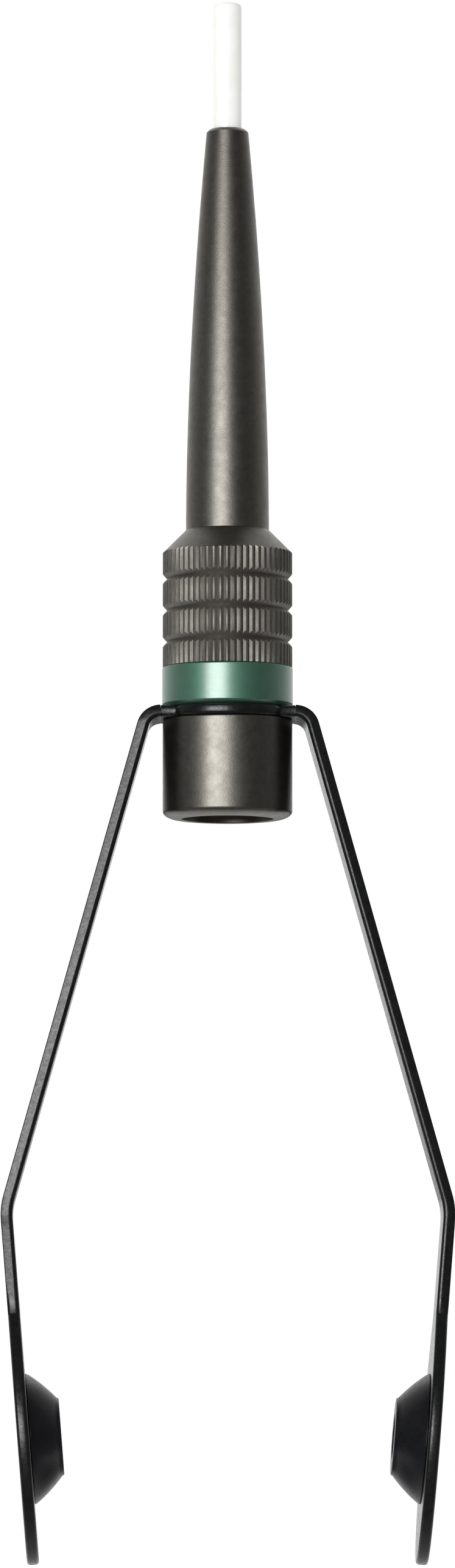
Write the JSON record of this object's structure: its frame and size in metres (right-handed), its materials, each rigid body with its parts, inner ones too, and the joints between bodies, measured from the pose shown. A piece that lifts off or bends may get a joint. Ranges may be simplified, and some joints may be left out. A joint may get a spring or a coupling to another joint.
{
  "type": "fly tying bobbin holder",
  "caption": "Hand tool that holds a thread spool between two sprung arms and feeds the thread through a knurled metal barrel and a white ceramic tube.",
  "frame": {"origin": "centre of the ceramic tube's mouth, where the thread leaves and from which the tool hangs in use", "axes": "+Z out of the tube along the thread, arms spread along X, the width of strip and paddles along Y"},
  "size_m": [0.033, 0.012, 0.115],
  "materials": {
    "white_ceramic": "polished white alumina ceramic",
    "dark_anodised": "turned, bead-blasted and anodised dark grey",
    "green_anodised": "turned and anodised bright green",
    "black_steel": "spring steel with a semi-gloss black coating",
    "rivet_steel": "blackened steel",
    "black_plastic": "satin black acetal"
  },
  "bodies": {
    "holder": {"ceramic_tube": "white_ceramic", "barrel": "dark_anodised", "colour_ring": "green_anodised", "frame_washer": "black_steel", "tail_sleeve": "dark_anodised"},
    "left_arm": {"left_arm": "black_steel", "left_rivet": "rivet_steel"},
    "right_arm": {"right_arm": "black_steel", "right_rivet": "rivet_steel"},
    "left_button": {"left_button": "black_plastic"},
    "right_button": {"right_button": "black_plastic"}
  },
  "joints": [
    {"name": "left_arm_flex", "type": "hinge", "parent": "holder", "child": "left_arm", "pos_m": [-0.00492, 0, -0.05419], "axis": [0, 1, 0], "range_deg": [-3, 6], "stiffness_Nm_per_rad": 0.5},
    {"name": "right_arm_flex", "type": "hinge", "parent": "holder", "child": "right_arm", "pos_m": [0.00492, 0, -0.05419], "axis": [0, -1, 0], "range_deg": [-3, 6], "stiffness_Nm_per_rad": 0.5},
    {"name": "left_button_spin", "type": "hinge", "parent": "left_arm", "child": "left_button", "pos_m": [-0.01482, 0, -0.1059], "axis": [0.9969, 0, 0.0785], "continuous": true},
    {"name": "right_button_spin", "type": "hinge", "parent": "right_arm", "child": "right_button", "pos_m": [0.01482, 0, -0.1059], "axis": [-0.9969, 0, 0.0785], "continuous": true}
  ]
}
